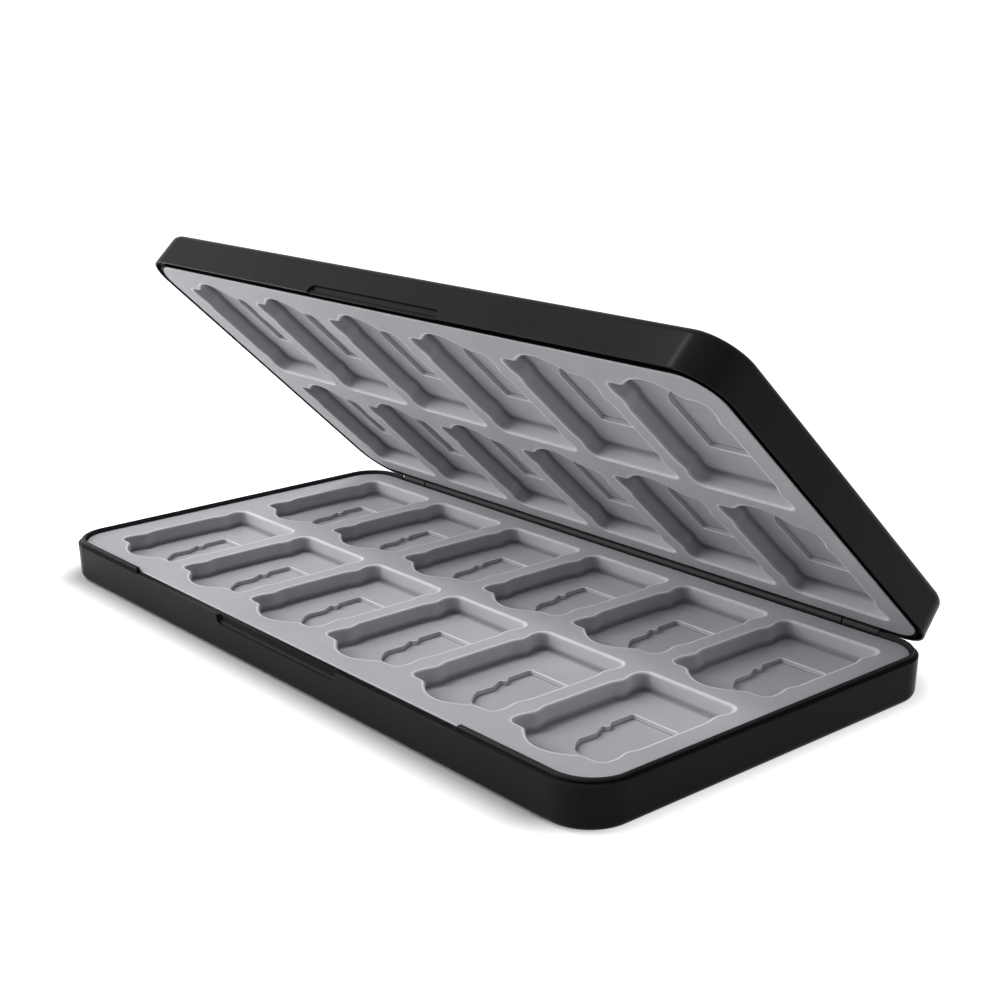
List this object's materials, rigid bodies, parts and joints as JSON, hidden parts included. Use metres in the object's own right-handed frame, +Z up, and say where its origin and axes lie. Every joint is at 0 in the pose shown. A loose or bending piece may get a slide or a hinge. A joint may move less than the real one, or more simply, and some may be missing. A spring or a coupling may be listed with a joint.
{
  "type": "game card case",
  "caption": "Slim flip-open case with a hinged lid, a soft tray in each half and shaped pockets for game cards and memory cards.",
  "frame": {"origin": "centre of the base's flat underside, which the case stands on", "axes": "+X along the long side, to the right as seen from the opening edge; +Y from the opening edge to the hinge; +Z up"},
  "size_m": [0.1734, 0.0933, 0.0747],
  "materials": {
    "black_plastic": "fine satin moulding",
    "grey_liner": "matte soft moulding",
    "pin_steel": "drawn wire",
    "magnet_nickel": "nickel plated"
  },
  "bodies": {
    "base": {"base_shell": "black_plastic", "base_liner": "grey_liner", "base_magnet_left": "magnet_nickel", "base_magnet_right": "magnet_nickel", "hinge_pin_left": "pin_steel", "hinge_pin_right": "pin_steel"},
    "lid": {"lid_shell": "black_plastic", "lid_liner": "grey_liner", "lid_magnet_left": "magnet_nickel", "lid_magnet_right": "magnet_nickel"}
  },
  "joints": [
    {"name": "lid_hinge", "type": "hinge", "parent": "base", "child": "lid", "pos_m": [0, 0.04435, 0.00835], "axis": [-1, 0, 0], "range_deg": [-43.7, 136.3]}
  ]
}
